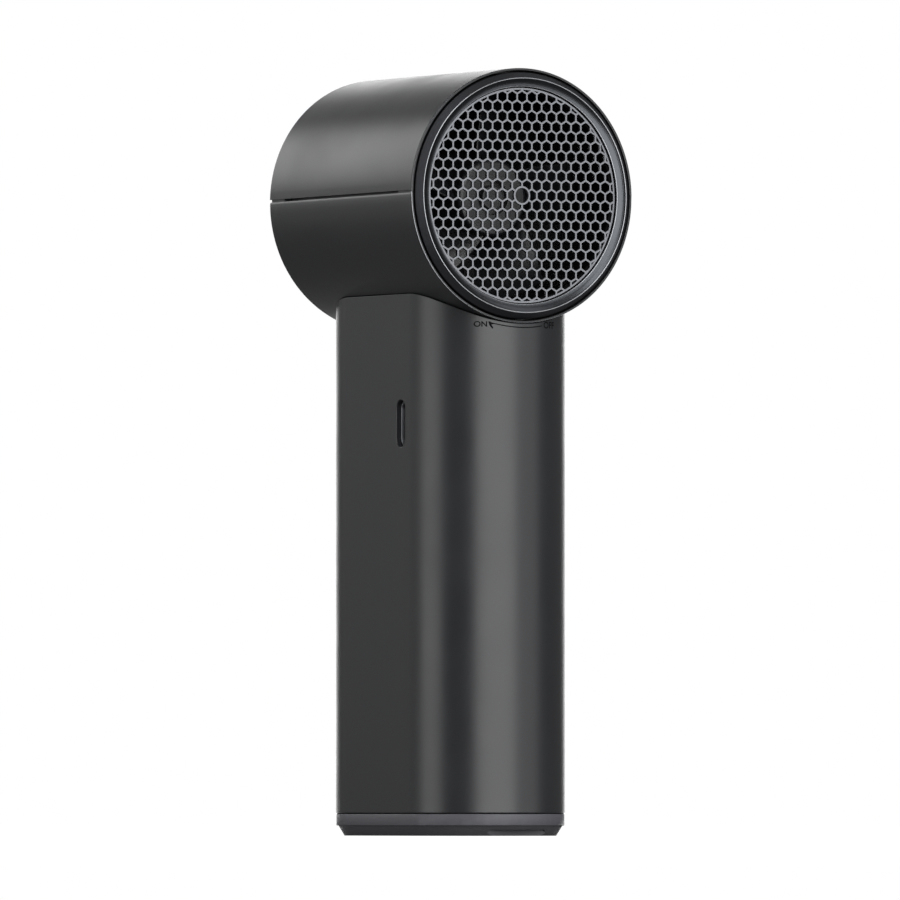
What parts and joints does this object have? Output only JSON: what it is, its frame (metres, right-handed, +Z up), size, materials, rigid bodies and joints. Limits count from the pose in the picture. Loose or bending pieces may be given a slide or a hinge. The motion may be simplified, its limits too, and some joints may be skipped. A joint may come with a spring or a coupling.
{
  "type": "car dryer blower",
  "caption": "Handheld turbine blower: a cylindrical head with a hexagonal intake mesh and a turning speed ring, across the top of a flat-sided battery handle.",
  "frame": {"origin": "middle of the foot pad's underside, on the surface that the blower stands on", "axes": "+Z up along the handle, the air path along Y with the intake at +Y and the outlet at -Y, the charging socket on the +X side"},
  "size_m": [0.05, 0.0592, 0.1505],
  "materials": {
    "head_grey": "satin metallic paint",
    "handle_grey": "satin dark grey anodising",
    "duct_black": "matte",
    "ring_black": "black anodising, bright turned edges",
    "mesh_steel": "satin",
    "fan_grey": "satin",
    "vane_grey": "satin",
    "steel": "bright",
    "dark_screw": "blackened",
    "magnet": "nickel plated",
    "copper": "enamelled copper wire",
    "motor_alloy": "turned",
    "circuit_board": "green solder mask",
    "component_black": "matte",
    "lead_red": "satin",
    "frame_black": "matte",
    "cell_sleeve": "satin film sleeve",
    "cap_grey": "satin",
    "foot_dark": "matte"
  },
  "bodies": {
    "housing": {"head_shell_upper": "head_grey", "head_shell_lower": "head_grey", "air_duct": "duct_black", "outlet_bezel": "ring_black", "retaining_clip": "steel", "hall_sensor_board": "circuit_board", "motor_bearings": "steel", "motor_can": "motor_alloy", "motor_end_cap": "component_black", "stator_core": "steel", "stator_coils": "copper", "motor_leads": "lead_red", "guide_vanes": "vane_grey", "tail_cone": "vane_grey", "handle_shell": "handle_grey", "battery_frame": "frame_black", "battery_cells": "cell_sleeve", "cell_tabs": "steel", "main_board": "circuit_board", "board_components": "component_black", "usb_socket_shell": "steel", "usb_tongue": "component_black", "base_cap": "cap_grey", "foot_pad": "foot_dark", "neck_screws": "dark_screw", "base_screws": "dark_screw"},
    "speed_ring": {"speed_ring": "ring_black", "intake_mesh": "mesh_steel", "ring_magnet": "magnet"},
    "rotor": {"impeller": "fan_grey", "impeller_cap": "fan_grey", "motor_shaft": "steel", "rotor_magnet": "magnet"}
  },
  "joints": [
    {"name": "ring_turn", "type": "hinge", "parent": "housing", "child": "speed_ring", "pos_m": [0, 0.0252, 0.1255], "axis": [0, -1, 0], "range_deg": [0, 80]},
    {"name": "rotor_spin", "type": "hinge", "parent": "housing", "child": "rotor", "pos_m": [0, 0.0025, 0.1255], "axis": [0, 1, 0], "continuous": true}
  ]
}
